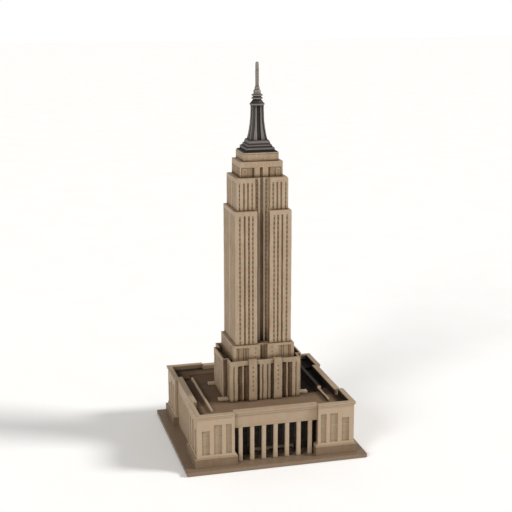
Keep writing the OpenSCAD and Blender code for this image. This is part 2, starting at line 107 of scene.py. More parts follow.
class Solid:
    """Boxes added and cut in order, meshed as the quads between full and empty cells."""

    def __init__(self, cell=6.0, flip=(1, 1)):
        self.moves = []
        self.cell = cell
        self.flip = flip

    def _move(self, full, x, y, z):
        x = sorted(self.flip[0] * v for v in x)
        y = sorted(self.flip[1] * v for v in y)
        self.moves.append((full, np.round([x, y, sorted(z)], 3)))

    def add(self, x, y, z):
        self._move(True, x, y, z)

    def cut(self, x, y, z):
        self._move(False, x, y, z)

    def lines(self, axis):
        """The grid's planes across one axis, with long gaps divided."""
        planes = np.unique([box[axis] for _, box in self.moves])
        out = [planes[0]]
        for a, b in zip(planes, planes[1:]):
            n = max(1, math.ceil((b - a) / self.cell))
            out += [a + (b - a) * i / n for i in range(1, n)] + [b]
        return np.array(out)

    def mesh(self):
        grid = [self.lines(axis) for axis in range(3)]
        full = np.zeros([len(g) + 1 for g in grid], bool)
        for on, box in self.moves:
            i, j, k = (np.searchsorted(g, box[axis]) + 1 for axis, g in enumerate(grid))
            full[i[0]:i[1], j[0]:j[1], k[0]:k[1]] = on
        ny, nz = len(grid[1]), len(grid[2])
        quads = []
        for axis, u, v in ((0, 1, 2), (1, 2, 0), (2, 0, 1)):
            inner = [slice(1, -1)] * 3
            inner[axis] = slice(None, -1)
            below = full[tuple(inner)]
            inner[axis] = slice(1, None)
            above = full[tuple(inner)]
            for outward, where in ((True, below & ~above), (False, above & ~below)):
                corner = np.argwhere(where)
                step_u, step_v = np.eye(3, dtype=int)[u], np.eye(3, dtype=int)[v]
                ring = [corner, corner + step_u, corner + step_u + step_v, corner + step_v]
                quad = np.stack([(c[:, 0] * ny + c[:, 1]) * nz + c[:, 2] for c in ring], 1)
                quads.append(quad if outward else quad[:, ::-1])
        used, quads = np.unique(np.concatenate(quads), return_inverse=True)
        i, j, k = used // (ny * nz), used // nz % ny, used % nz
        return np.stack([grid[0][i], grid[1][j], grid[2][k]], 1), quads.reshape(-1, 4)


def wobbled(points, amount, scale, seed):
    """Points moved by smooth noise, as a hand-finished casting is a little uneven."""
    shift = Vector((seed * 7.3, seed * 3.1, seed * 5.7))
    moved = [noise.noise_vector(Vector(p) / scale + shift) for p in points]
    return points + amount * np.array(moved)


def make(name, node, material, points, faces, wash_and_shade, bevel, seed, segments=2, wobble=0.07,
         scale=9.0, sharp=None):
    """Makes one piece that stands for a CAD node, with each point's share of brown wash and painted shade.
    """
    mesh = bpy.data.meshes.new(name)
    placed = wobbled(points, wobble, scale, seed) if wobble else points
    mesh.from_pydata((placed * MM).tolist(), [], [list(map(int, f)) for f in faces])
    # Each point's darkening, brown wash and painted shade together, kept as an attribute for the materials
    mesh.attributes.new("wash_and_shade", "FLOAT", "POINT").data.foreach_set(
        "value", np.clip(wash_and_shade, 0, 1).astype(np.float32))
    mesh.shade_smooth()
    if sharp:
        mesh.set_sharp_from_angle(angle=math.radians(sharp))
    mesh.materials.append(material)
    piece = bpy.data.objects.new(name, mesh)
    bpy.context.scene.collection.objects.link(piece)
    if bevel:
        edge = piece.modifiers.new("cast_edges", "BEVEL")
        edge.width = bevel * MM
        edge.segments = segments
        edge.limit_method = "ANGLE"
        edge.angle_limit = math.radians(32)
        edge.harden_normals = True
    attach(piece, "root")
    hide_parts(node)
    return piece


def hollow_wash_and_shade(depth, soft):
    """How dark a hollow of this depth is made, from 0 to 1: brown wash run into it, and painted shade."""
    return (1 - np.exp(-np.clip(depth, 0, None) / soft)) ** 1.3


def inside_wash_and_shade(points, low, high, soft, foot):
    """Brown wash and painted shade that rise with the depth inside a box's sides and top, and painted
    shade close to its foot.
    """
    depth = np.minimum(points[:, :2] - low[:2], high[:2] - points[:, :2]).min(1)
    wash_and_shade = hollow_wash_and_shade(np.minimum(depth, high[2] - points[:, 2]), soft)
    return np.maximum(wash_and_shade, 0.75 * np.exp(-np.clip(points[:, 2] - foot, 0, None) / 1.3))


# --- Materials ---

class Shader:
    """A Principled material with short ways to add its nodes."""

    def __init__(self, name, **sockets):
        self.material = bpy.data.materials.new(name)
        self.material.use_nodes = True
        self.nodes = self.material.node_tree.nodes
        self.links = self.material.node_tree.links
        self.surface = self.nodes["Principled BSDF"]
        for socket, value in sockets.items():
            self.surface.inputs[socket.replace("_", " ")].default_value = value
        self.place = self.nodes.new("ShaderNodeTexCoord").outputs["Object"]

    def put(self, socket, value):
        if isinstance(value, bpy.types.NodeSocket):
            self.links.new(value, socket)
        elif value is not None:
            socket.default_value = value

    def attribute(self, name):
        node = self.nodes.new("ShaderNodeAttribute")
        node.attribute_name = name
        return node.outputs["Fac"]

    def grain(self, size, detail, stretch=(1, 1, 1), rough=0.55):
        """Noise from 0 to 1 with features about size millimetres across."""
        mapping = self.nodes.new("ShaderNodeMapping")
        self.put(mapping.inputs["Vector"], self.place)
        mapping.inputs["Scale"].default_value = stretch
        node = self.nodes.new("ShaderNodeTexNoise")
        self.put(node.inputs["Vector"], mapping.outputs[0])
        node.inputs["Scale"].default_value = 1 / (size * MM)
        node.inputs["Detail"].default_value = detail
        node.inputs["Roughness"].default_value = rough
        return node.outputs["Fac"]

    def math(self, kind, a, b, c=None, clamp=False):
        node = self.nodes.new("ShaderNodeMath")
        node.operation = kind
        node.use_clamp = clamp
        for socket, value in zip(node.inputs, (a, b, c)):
            self.put(socket, value)
        return node.outputs[0]

    def spread(self, value, low, high, to_low, to_high):
        node = self.nodes.new("ShaderNodeMapRange")
        for socket, v in zip(node.inputs, (value, low, high, to_low, to_high)):
            self.put(socket, v)
        return node.outputs[0]

    def ramp(self, value, stops):
        node = self.nodes.new("ShaderNodeValToRGB")
        self.put(node.inputs["Fac"], value)
        band = node.color_ramp
        for n, (at, colour) in enumerate(stops):
            stop = band.elements[n] if n < 2 else band.elements.new(at)
            stop.position = at
            stop.color = (*linear(colour), 1)
        return node.outputs["Color"]

    def mix(self, share, a, b, kind="MIX"):
        node = self.nodes.new("ShaderNodeMix")
        node.data_type = "RGBA"
        node.blend_type = kind
        for socket, value in ((node.inputs[0], share), (node.inputs[6], a), (node.inputs[7], b)):
            self.put(socket, value)
        return node.outputs[2]

    def bump(self, layers):
        """Bump from several heights, each with its depth in millimetres."""
        normal = None
        for height, depth in layers:
            node = self.nodes.new("ShaderNodeBump")
            node.inputs["Distance"].default_value = depth * MM
            self.put(node.inputs["Height"], height)
            self.put(node.inputs["Normal"], normal)
            normal = node.outputs["Normal"]
        self.links.new(normal, self.surface.inputs["Normal"])


def linear(colour):
    """Linear colour of an sRGB colour given as three numbers up to 255."""
    return [(v / 255 / 12.92 if v <= 10 else ((v / 255 + 0.055) / 1.055) ** 2.4) for v in colour]


def painted(name, stops, tint, streak, gloss=(0.5, 0.72), blotch=0.22, grit=0.2, shine=0.35):
    """Resin with matt paint and a brown wash: stops go from the raised paint to full wash, and the darkest
    stops are painted shade.
    """
    s = Shader(name, Specular_IOR_Level=shine)
    wash_and_shade = s.attribute("wash_and_shade")
    clouds = s.grain(14, detail=4)
    runs = s.grain(1.1, stretch=(1, 1, 0.09), detail=3)
    specks = s.grain(0.8, detail=4, rough=0.7)
    amount = wash_and_shade
    for layer, weight in ((clouds, blotch), (runs, streak), (specks, grit)):
        amount = s.math("MULTIPLY_ADD", s.math("SUBTRACT", layer, 0.5), weight, amount)
    colour = s.ramp(s.math("ADD", amount, 0.0, clamp=True), stops)
    hue = s.spread(s.grain(5.0, detail=2), 0.38, 0.68, 0.0, 0.4)
    colour = s.mix(hue, colour, s.mix(1.0, colour, (*linear(tint), 1), "MULTIPLY"))
    s.put(s.surface.inputs["Base Color"], colour)
    s.put(s.surface.inputs["Roughness"], s.spread(specks, 0.3, 0.7, *gloss))
    s.bump([(s.grain(2.6, detail=3), 0.05), (specks, 0.035), (s.grain(0.25, detail=2), 0.012)])
    return s.material


def metal(name, stops, rough, metallic):
    """Metal or metal paint, dark in the hollows and dry-brushed light on the raised parts."""
    s = Shader(name, Metallic=metallic)
    brushed = s.grain(0.8, stretch=(1, 1, 0.12), detail=4)
    specks = s.grain(0.7, detail=4, rough=0.7)
    amount = s.math("MULTIPLY_ADD", s.math("SUBTRACT", brushed, 0.5), 0.3, s.attribute("wash_and_shade"))
    amount = s.math("MULTIPLY_ADD", s.math("SUBTRACT", specks, 0.5), 0.35, amount, clamp=True)
    s.put(s.surface.inputs["Base Color"], s.ramp(amount, stops))
    s.put(s.surface.inputs["Roughness"], s.spread(specks, 0.3, 0.7, *rough))
    s.bump([(brushed, 0.02), (specks, 0.03)])
    return s.material


# The darkest stops of TAN, PODIUM, ROOF and PORCH are painted shade, nearly black for painted shadow
TAN = painted("tan_casting", [(0.0, (168, 150, 127)), (0.25, (148, 129, 105)),
                              (0.55, (110, 90, 66)), (0.85, (58, 45, 33)), (1.0, (26, 18, 12))],
              (255, 226, 208), streak=0.4, blotch=0.3, grit=0.6)
PODIUM = painted("tan_podium", [(0.0, (164, 146, 123)), (0.35, (142, 124, 101)),
                                (0.65, (108, 89, 68)), (0.85, (64, 50, 37)),
                                (1.0, (24, 17, 12))], (255, 230, 210), streak=0.12, blotch=0.16, grit=0.14)
BROWN = painted("brown_casting", [(0.0, (120, 102, 83)), (0.4, (102, 84, 66)),
                                  (0.7, (66, 51, 38)), (1.0, (26, 19, 14))], (255, 232, 218),
                gloss=(0.3, 0.5), streak=0.0, blotch=0.5)
ROOF = painted("brown_roof", [(0.0, (116, 97, 77)), (0.4, (82, 65, 49)), (0.7, (50, 37, 27)),
                              (1.0, (4, 2, 1))], (255, 232, 218),
               gloss=(0.65, 0.85), streak=0.0, blotch=0.4, shine=0.12)
PORCH = painted("porch_casting", [(0.0, (130, 113, 94)), (0.4, (58, 47, 36)),
                                  (1.0, (20, 16, 13))], (255, 236, 224), streak=0.3)
ENAMEL = painted("black_enamel", [(0.0, (26, 24, 22)), (0.5, (18, 17, 16)), (1.0, (12, 11, 10))],
                 (255, 240, 230), gloss=(0.4, 0.6), streak=0.1)
PEWTER = metal("pewter", [(0.0, (131, 123, 117)), (0.3, (96, 89, 84)),
                          (0.65, (57, 52, 48)), (1.0, (20, 18, 17))], rough=(0.42, 0.62), metallic=0.45)
ANTENNA = metal("antenna_metal", [(0.0, (141, 133, 123)), (0.5, (104, 96, 88)),
                                  (1.0, (56, 50, 46))], rough=(0.42, 0.62), metallic=0.4)
STEEL = metal("steel", [(0.0, (176, 174, 170)), (0.5, (140, 138, 135)), (1.0, (90, 88, 86))],
              rough=(0.25, 0.42), metallic=1.0)
RUBBER = painted("rubber", [(0.0, (52, 49, 46)), (0.5, (42, 39, 37)), (1.0, (28, 26, 25))],
                 (255, 250, 245), gloss=(0.7, 0.9), streak=0.0)


# --- Podium ---

# Each moulding on a parapet: its top and bottom, down from the parapet's top, and how far it
# stands out
MOULDINGS = ((0.2, 1.15, CORNICE_OUT), (1.15, 1.5, 0.45), (1.5, 2.4, 0.75))
WINDOW_DEEP = 0.9
POST = (50.5, 47)  # inner corner of the post that takes the screw from under the plate
# Pavilion windows: first and last distance from the outer corner, head height, arched or not
WINDOWS = ((3.8, 9.8, 19.6, False), (13.2, 19.5, 23.9, True), (22.6, 27.1, 23.9, True))


def arch(carve, first, last, springing, rise):
    """Calls carve(a, b, top) for slices of a segmental arch between two distances."""
    slices = 6
    middle, half = (first + last) / 2, (last - first) / 2
    for n in range(slices):
        a, b = first + 2 * half * n / slices, first + 2 * half * (n + 1) / slices
        across = ((a + b) / 2 - middle) / half
        carve(a, b, springing + rise * math.sqrt(max(0.0, 1 - across * across)))


def pavilion(name, flip, seed):
    s = Solid(cell=5, flip=flip)
    x, y = podium_x, podium_y
    s.add((pavilion_x, x), (pavilion_y, y), (floor_z, deck_z))
    s.add((pavilion_x, x), (y - WALL, y), (deck_z, podium_z))
    s.add((x - WALL, x), (pavilion_y, y), (deck_z, podium_z))
    reach = 6
    s.add((pavilion_x - PLINTH_OUT, x + PLINTH_OUT), (y - reach, y + PLINTH_OUT), (floor_z, sill_z))
    s.add((x - reach, x + PLINTH_OUT), (pavilion_y - PLINTH_OUT, y + PLINTH_OUT), (floor_z, sill_z))
    # A grid plane near the plinth's upper edge, where its darker paint ends
    s.add((x, x + PLINTH_OUT), (y, y + PLINTH_OUT), (plinth_z - 0.35, sill_z))
    s.cut((pavilion_x + WALL, x - WALL), (pavilion_y + WALL, y - WALL), (floor_z, deck_z))
    for first, last, out in MOULDINGS:
        heights = (podium_z - last, podium_z - first)
        s.add((pavilion_x, x + out), (y - WALL, y + out), heights)
        s.add((x - WALL, x + out), (pavilion_y, y + out), heights)
    for first, last, head, arched in WINDOWS:
        for carve in (lambda a, b, z, deep: s.cut((x - b, x - a), (y - deep, y + 0.5), z),
                      lambda a, b, z, deep: s.cut((x - deep, x + 0.5), (y - b, y - a), z)):
            carve(first, last, (sill_z, sill_z + head), WINDOW_DEEP)
            # Three panes, one above the other; the top one has an arched head in some windows
            inset, deeper = 0.45, WINDOW_DEEP + 0.25
            rise = 1.3 if arched else 0.0
            top = sill_z + head - 0.5 - rise
            carve(first + inset, last - inset, (sill_z + 0.5, sill_z + 6.6), deeper)
            carve(first + inset, last - inset, (sill_z + 7.0, sill_z + 13.2), deeper)
            carve(first + inset, last - inset, (sill_z + 14.6, top), deeper)
            if arched:
                arch(lambda a, b, z: carve(a, b, (top, z), deeper), first + inset, last - inset,
                     top, rise)
    s.add((POST[0], x - WALL), (POST[1], y - WALL), (floor_z, deck_z - 1))
    points, faces = s.mesh()
    out = np.maximum(flip[0] * points[:, 0] - x, flip[1] * points[:, 1] - y)
    inward = np.maximum(pavilion_x - flip[0] * points[:, 0], pavilion_y - flip[1] * points[:, 1])
    low = points[:, 2] <= sill_z + 0.01
    beyond = np.maximum(out, inward)
    # The plinth's top slopes down to its upright face
    slope = low & (points[:, 2] > plinth_z + 0.01) & (beyond > 0.5)
    wash_and_shade = podium_wash_and_shade(points)
    shaped = points.copy()
    shaped[slope, 2] = plinth_z
    upright = (shaped[:, 2] < plinth_z - 0.3) & (beyond > 0.5)
    wash_and_shade = np.where(upright, 0.62, wash_and_shade)
    wash_and_shade = np.where(slope, 0.22, wash_and_shade)
    make(name, name, PODIUM, shaped, faces, wash_and_shade, bevel=0.22, seed=seed)


def podium_wash_and_shade(points):
    """Brown wash and painted shade on the podium: light outside, darker inwards, and nearly black painted
    shadow inside the right parapet.
    """
    side = np.maximum(np.abs(points[:, 0]) - podium_x, np.abs(points[:, 1]) - podium_y)
    depth = np.clip(-side, 0, None)
    # Painted shade, darker in the windows and further inwards
    wash_and_shade = np.where(depth < WINDOW_DEEP + 0.6, 0.2 * depth, 0.5 + 0.1 * (depth - 1.5))
    # Painted shadow, nearly black, on the inner face of the right parapet above the roof
    inner = (depth > WALL - 0.1) & (points[:, 2] > deck_z) & (points[:, 2] < podium_z - 0.2)
    wash_and_shade = np.where(inner & (points[:, 0] > podium_x - WALL - 0.1), 1.1, wash_and_shade)
    wash_and_shade = np.where((points[:, 2] > podium_z - 0.5) & (depth < 4), 0.05, wash_and_shade)
    return wash_and_shade


for name, flip, seed in (("front_left_pavilion", (-1, -1), 1), ("front_right_pavilion", (1, -1), 2),
                         ("rear_left_pavilion", (-1, 1), 3), ("rear_right_pavilion", (1, 1), 4)):
    pavilion(name, flip, seed)

PILASTERS = 13


def wing(name, face, inner, ledge, half, foot_half, turned, sign, seed):
    """A wall between two pavilions, along Y on the side faces or along X at the rear."""
    s = Solid(cell=5)

    def place(move, depth, length, heights):
        depth = tuple(sorted(sign * d for d in depth))
        move(*((length, depth) if turned else (depth, length)), heights)

    place(s.add, (ledge, face), (-foot_half, foot_half), (floor_z, deck_z))
    place(s.add, (inner, face), (-half, half), (sill_z, podium_z))
    for first, last, out in MOULDINGS:
        place(s.add, (inner, face + out), (-half, half), (podium_z - last, podium_z - first))
    pitch = 2 * foot_half / PILASTERS
    bottom = floor_z + 2
    for n in range(1, PILASTERS):
        middle = -foot_half + n * pitch
        gap = 0.28 * pitch
        place(s.cut, (face - 1, face + 0.5), (middle - gap, middle + gap), (bottom, frieze_z))
        for storey in (bottom + 1.2, bottom + 9.8, bottom + 18.4):
            place(s.cut, (face - 1.3, face), (middle - gap + 0.3, middle + gap - 0.3),
                  (storey, storey + 6.6))
    # A shallow line under the plain band
    place(s.cut, (face - 0.2, face + 0.5), (-foot_half, foot_half), (frieze_z + 0.7, frieze_z + 1.1))
    points, faces = s.mesh()
    across = points[:, 1 if turned else 0] * sign
    depth = np.clip(face - across, 0, None)
    # Painted shade, darker in the gaps between the pilasters and in the windows
    wash_and_shade = np.where(depth < 2, 0.15 * depth, 0.5)
    if name == "right_wing_wall":
        # Painted shadow: its inner face above the roof is nearly black
        wash_and_shade = np.where((depth > face - inner - 0.1) & (points[:, 2] > deck_z), 1.1, wash_and_shade)
    wash_and_shade = np.where((points[:, 2] > podium_z - 0.5) & (depth < 5), 0.05, wash_and_shade)
    # Painted shade close to the foot, where the wall meets the plate
    wash_and_shade = np.maximum(wash_and_shade, 0.45 * np.exp(-(points[:, 2] - floor_z) / 1.6))
    make(name, name, PODIUM, points, faces, wash_and_shade, bevel=0.2, seed=seed)


wing_face = wing_high[0] - CORNICE_OUT
rear_face = rear_high[1] - CORNICE_OUT
wing_inner, rear_inner = 56.5, 53.1
for name, sign, seed in (("left_wing_wall", -1, 5), ("right_wing_wall", 1, 6)):
    wing(name, wing_face, wing_inner, wing_low[0], pavilion_y, pavilion_y - PLINTH_OUT, False, sign, seed)
wing("rear_wing_wall", rear_face, rear_inner, rear_low[1], pavilion_x, pavilion_x - PLINTH_OUT,
     True, 1, 7)


# --- Portico ---

def entablature():
    s = Solid(cell=5)
    face = rear_face
    wide = (-pavilion_x, pavilion_x)
    s.add(wide, (-face, frieze_high[1]), (frieze_z, podium_z))
    for low, high, out in ((1.8, 3.6, 0.5), (0.8, 1.8, CORNICE_OUT), (0.35, 0.8, 0.7),
                           (4.2, 4.6, 0.2)):
        s.add(wide, (-face - out, -face + 1), (podium_z - high, podium_z - low))
    s.cut(wide, (-face - 0.5, -face + 0.15), (frieze_z + 1.5, frieze_z + 1.8))
    points, faces = s.mesh()
    depth = np.clip(points[:, 1] + face, 0, None)
    # Painted shade: darker under the soffit and in the hollows of the mouldings, light on the top
    wash_and_shade = np.where(points[:, 2] < frieze_z + 0.1, 0.25 + 0.1 * depth,
                    0.14 + 0.4 * np.minimum(depth, 1))
    wash_and_shade = np.where(points[:, 2] > podium_z - 0.3, 0.05, wash_and_shade)
    make("portico_entablature", "portico_entablature", PODIUM, points, faces, wash_and_shade,
         bevel=0.2, seed=8)


def column(number):
    """A square column with rounded corners, slightly uneven, and a soft foot and head."""
    name = f"portico_column_{number}"
    low, high = box_mm(name)
    middle, half = (low + high) / 2, (high - low) / 2
    # Heights above the column's foot, and how far the sides are set in there
    levels = [0, 0.25, 0.8, 1.6] + [3 + i * 2.5 for i in range(10)] + [27.4, 28.0, 28.4]
    trims = [0.22, 0.06, 0, 0.05] + [0.1] * 10 + [0.06, 0, 0]
    points, faces, wash_and_shade = [], [], []
    corner, arc = 0.55, 4
    for level, trim in zip(levels, trims):
        ring = []
        for quarter in range(4):
            turn = math.pi / 2 * quarter
            sx = 1 if quarter in (0, 3) else -1
            sy = 1 if quarter in (0, 1) else -1
            for k in range(arc + 1):
                angle = turn + math.pi / 2 * k / arc
                ring.append((middle[0] + sx * (half[0] - trim - corner) + corner * math.cos(angle),
                             middle[1] + sy * (half[1] - trim - corner) + corner * math.sin(angle),
                             low[2] + level))
        start = len(points)
        n = len(ring)
        points += ring
        # Painted shade at the column's foot, fading upwards
        wash_and_shade += [0.45 * math.exp(-level / 1.5)] * n
        if start:
            faces += [(start - n + i, start - n + (i + 1) % n, start + (i + 1) % n, start + i)
                      for i in range(n)]
    faces += [tuple(reversed(range(n))), tuple(range(len(points) - n, len(points)))]
    make(name, name, PODIUM, np.array(points), faces, np.array(wash_and_shade), bevel=0,
         wobble=0.12, scale=7, seed=10 + number, sharp=50)


DOORS = range(-2, 3)  # five doors, counted from the middle one
DOOR_PITCH = 7


def porch():
    face = porch_low[1] + 0.7
    wide = (-pavilion_x, pavilion_x)
    s = Solid(cell=5)
    s.add(wide, (face, porch_high[1]), (floor_z, deck_z))
    ribs = 14
    pitch = 2 * pavilion_x / ribs
    for n in range(1, ribs):
        x = -pavilion_x + n * pitch
        s.add((x - 0.8, x + 0.8), (porch_low[1], face), (floor_z + 6.5, deck_z))
        s.add((x - 1.1, x + 1.1), (porch_low[1] + 0.3, face), (floor_z + 6.5, floor_z + 7.4))
    for n in range(ribs):
        x = -pavilion_x + (n + 0.5) * pitch
        for storey in (floor_z + 8.6, floor_z + 18.6):
            s.cut((x - 1.1, x + 1.1), (face - 0.1, face + 0.5), (storey, storey + 8.2))
    for n in DOORS:
        for side in (-1, 1):
            door = sorted((n * DOOR_PITCH + side * 0.3, n * DOOR_PITCH + side * 2.2))
            s.cut(door, (face - 0.1, face + 0.7), (floor_z + 1.2, floor_z + 4.6))
    points, faces = s.mesh()
    depth = points[:, 1] - porch_low[1]
    # Painted shade, darker the further back into the porch
    wash_and_shade = np.clip(0.45 + 0.4 * depth, 0, 1)
    make("portico_back_wall", "portico_back_wall", PORCH, points, faces, wash_and_shade,
         bevel=0.15, seed=20)

    low, high = box_mm("portico_canopy")
    s = Solid(cell=4)
    s.add((low[0], high[0]), (low[1], high[1]), (low[2], high[2]))
    s.cut((low[0], high[0]), (low[1], low[1] + 0.35), (high[2] - 0.45, high[2]))
    for n in DOORS:
        s.cut((n * DOOR_PITCH - 2.4, n * DOOR_PITCH + 2.4), (low[1] - 0.4, high[1] - 0.5),
              (low[2] - 1, high[2] - 1.4))
    points, faces = s.mesh()
    # Painted shade below the canopy's top edge
    wash_and_shade = np.where(points[:, 2] > high[2] - 1.5, 0.05, 0.8)
    make("portico_canopy", "portico_canopy", PORCH, points, faces, wash_and_shade,
         bevel=0.18, seed=21)

    low, high = box_mm("portico_steps")
    s = Solid(cell=4)
    s.add((low[0], high[0]), (low[1], high[1]), (low[2], low[2] + 0.6))
    s.add((low[0] + 0.5, high[0] - 0.5), (low[1] + 0.6, high[1]), (low[2], high[2]))
    points, faces = s.mesh()
    # Painted shade, darker on the sides than on the top
    wash_and_shade = 0.5 - 0.25 * (points[:, 2] > high[2] - 0.1)
    make("portico_steps", "portico_steps", PORCH, points, faces, wash_and_shade,
         bevel=0.15, seed=22)


entablature()
porch()
for number in range(1, 8):
    column(number)


# --- Roof ---

def roof():
    s = Solid(cell=4)
    x, y = podium_x - WALL, podium_y - WALL
    # The raised edge starts at back, and its short arms at the sides reach forward to side_back
    back, side, side_back, rise = 42, 48.5, 34, 1.7
    s.add((-wing_inner, wing_inner), (-rear_inner, rear_inner), (deck_z, roof_z))
    for a in (-1, 1):
        for b in (-1, 1):
            s.add((a * pavilion_x, a * x), (b * pavilion_y, b * y), (deck_z, roof_z))
        s.add((a * pavilion_x, a * x), (back, y), (deck_z, roof_z + rise))
        s.add((a * side, a * x), (side_back, y), (deck_z, roof_z + rise))
    s.add((-wing_inner, wing_inner), (back, rear_inner), (deck_z, roof_z + rise))
    points, faces = s.mesh()
    edge = np.minimum(wing_inner - np.abs(points[:, 0]), rear_inner - np.abs(points[:, 1]))
    # Painted shade, darker close to the parapets
    wash_and_shade = 0.2 + 0.45 * np.exp(-np.clip(edge, 0, None) / 2.5)
    # Painted shade: the strip in front of the tower is paler, and all that lies behind it darker, as the
    # tower's shadow
    wash_and_shade = np.where(points[:, 1] > -22, wash_and_shade + 0.1, wash_and_shade)
    wash_and_shade = np.where((points[:, 1] < -26) & (edge > 2), 0.0, wash_and_shade)
    # Painted shadow, nearly black, beside the right ridge and the right parapet
    right, length = points[:, 0], (points[:, 1] > -19) & (points[:, 1] < 34)
    wash_and_shade = np.where((right > 30) & (right < 48) & length, np.clip((right - 26) / 9, 0, 1), wash_and_shade)
    wash_and_shade = np.where((right > 50.5) & (points[:, 1] > -12), 1.0, wash_and_shade)
    make("roof_deck", "roof_deck", ROOF, points, faces, wash_and_shade, bevel=0.25,
         wobble=0.12, scale=12, seed=30)


RIDGE_W = 1.7
RIDGE_H = 2.6
THICK_FROM = -17  # where the right ridge's thicker length starts, in Y


def bar(name, spans, seed, bevel=0.4):
    """A low bar on the roof, made of boxes, with painted shade that darkens it from the top down to its
    foot.
    """
    s = Solid(cell=2.5)
    for span in spans:
        s.add(*span)
    points, faces = s.mesh()
    up = (points[:, 2] - roof_z) / (points[:, 2].max() - roof_z)
    wash_and_shade = 0.45 * (1 - up)
    if name == "roof_ridge_right":
        # Painted shadow: its side that faces the tower is nearly black, and so is all of its thicker
        # length
        dark = (points[:, 0] < points[:, 0].min() + 0.1) & (up < 0.7)
        wash_and_shade = np.where(dark | (points[:, 1] > THICK_FROM + 0.5), 1.1, wash_and_shade)
    make(name, name, TAN, points, faces, wash_and_shade, bevel=bevel,
         segments=3, wobble=0.16, scale=6, seed=seed)


roof()
for name, seed in (("roof_ridge_left", 31), ("roof_ridge_right", 32)):
    low, high = box_mm(name)
    ridge = [((low[0], low[0] + RIDGE_W), (low[1], high[1]), (roof_z, roof_z + RIDGE_H))]
    if name == "roof_ridge_right":
        ridge.append(((low[0], high[0]), (THICK_FROM, high[1]), (roof_z, high[2])))
    bar(name, ridge, seed)
for number in range(1, 5):
    low, high = box_mm(f"roof_stub_{number}")
    bar(f"roof_stub_{number}", [tuple(zip(low, high))], 32 + number, bevel=0.5)


# --- Tower ---

PITCH = 3.45  # from window to window, upwards
WIDE_PITCH = 3.8  # the same in the shaft and on the base block's piers
BASE_PITCH = 3.1  # the same in the rest of the base block, chosen
TALL = 1.7  # a window's height
BAND = 3.3  # the plain band at the top of a block
PAST = 0.6  # how far a cut reaches past the face that it is cut into
RECESS_HALF = 5.0  # half the width of the shaft's recess
UPPER_RECESS_HALF = 6.0  # and of the upper block's
RECESS_FLOOR = 13.1  # from the tower's middle, as are the next two
CHANNEL_FLOOR = 12.1
RIB_FACE = 14.1
RIBS = (1.3, 2.9)  # a rib's inner and outer edge, from the middle


def carve(solid, face, span, depth, heights, side=False):
    """Cuts a groove, measured from the middle of a face, into both opposite faces, twice."""
    for a, b in (span, (-span[1], -span[0])):
        for c, d in ((face - depth, face + PAST), (-face - PAST, depth - face)):
            solid.cut(*(((c, d), (a, b)) if side else ((a, b), (c, d))), heights)


def pier(solid, face, span, depth, heights, side=False):
    """Fills a groove of this depth again over span, in both opposite faces, twice."""
    for a, b in (span, (-span[1], -span[0])):
        for c, d in ((face - depth, face), (-face, depth - face)):
            solid.add(*(((c, d), (a, b)) if side else ((a, b), (c, d))), heights)


def windows(solid, face, spans, depth, first, last, side=False, tall=TALL, pitch=PITCH):
    """Columns of small windows, each window a pitch above the last."""
    z = first
    while z + tall < last:
        for span in spans:
            carve(solid, face, span, depth, (z, z + tall), side)
        z += pitch


def recess(s, half_w, face, bottom, top, pitch):
    """The tall recess in the front and back: two ribs, a channel between them, small windows."""
    for a in (-1, 1):
        s.cut((-half_w, half_w), (a * RECESS_FLOOR, a * (face + PAST)), (bottom, top))
        s.cut((-RIBS[0], RIBS[0]), (a * CHANNEL_FLOOR, a * RECESS_FLOOR), (bottom, top))
        for b in (-1, 1):
            s.add((b * RIBS[0], b * RIBS[1]), (a * RECESS_FLOOR, a * RIB_FACE), (bottom, top))
        z = bottom + 1.6
        while z + TALL < top - 1:
            # One window beside each rib, and one in each side wall
            for b in (-1, 1):
                s.cut((b * 3.4, b * 4.3), (a * (RECESS_FLOOR - 0.6), a * RECESS_FLOOR), (z, z + TALL))
                s.cut((b * half_w, b * (half_w + 0.4)), (a * 15, a * 16), (z, z + TALL))
            z += pitch


def recess_wash_and_shade(points, wash_and_shade):
    """Brown wash and painted shade in the recess: light on the ribs, darkest in the channel, and darker
    with painted shade near its foot.
    """
    ay, z = np.abs(points[:, 1]), points[:, 2]
    half = np.where(z > shaft_z - 0.01, UPPER_RECESS_HALF, RECESS_HALF)
    inside = (np.abs(points[:, 0]) < half + 0.5) & (ay < upper_high[1] - 0.3)
    back = np.where(ay > RIB_FACE - 0.1, -0.1, 0.26)
    back = np.where(ay < RECESS_FLOOR - 0.2, 0.5, back)
    back = np.where(ay > RIB_FACE + 0.2, 0.3, back)
    back = back + 0.65 * np.exp(-(z - second_z) / 9) - 0.14 * (z > shaft_z)
    return np.where(inside, back, wash_and_shade)


def tower_piece(name, solid, foot, seed, soft, dirt, shape=None, low=None, high=None, bevel=0.14,
                wobble=0.1, recessed=False, limit=0.9):
    """Makes a block of the tower. soft and foot are for its brown wash and painted shade, and dirt adds to
    it all over.
    """
    points, faces = solid.mesh()
    box = box_mm(name)
    top = np.array(high if high is not None else [*box[1][:2], box[1][2] - SPIGOT])
    wash_and_shade = inside_wash_and_shade(points, np.array(low if low is not None else box[0]), top, soft, foot) + dirt
    wash_and_shade = np.minimum(wash_and_shade, limit)
    if recessed:
        wash_and_shade = recess_wash_and_shade(points, wash_and_shade)
    if shape is not None:
        points = shape(points)
    make(name, name, TAN, points, faces, wash_and_shade, bevel=bevel, segments=1,
         wobble=wobble, scale=8, seed=seed)


PIER = (7, 13.5)  # a base block pier's inner and outer edge, from the middle
PIER_RISE = 0.6  # how far it stands above the block's rim
BASE_HALF = (28.7, 25.6)  # without the bays and the piers


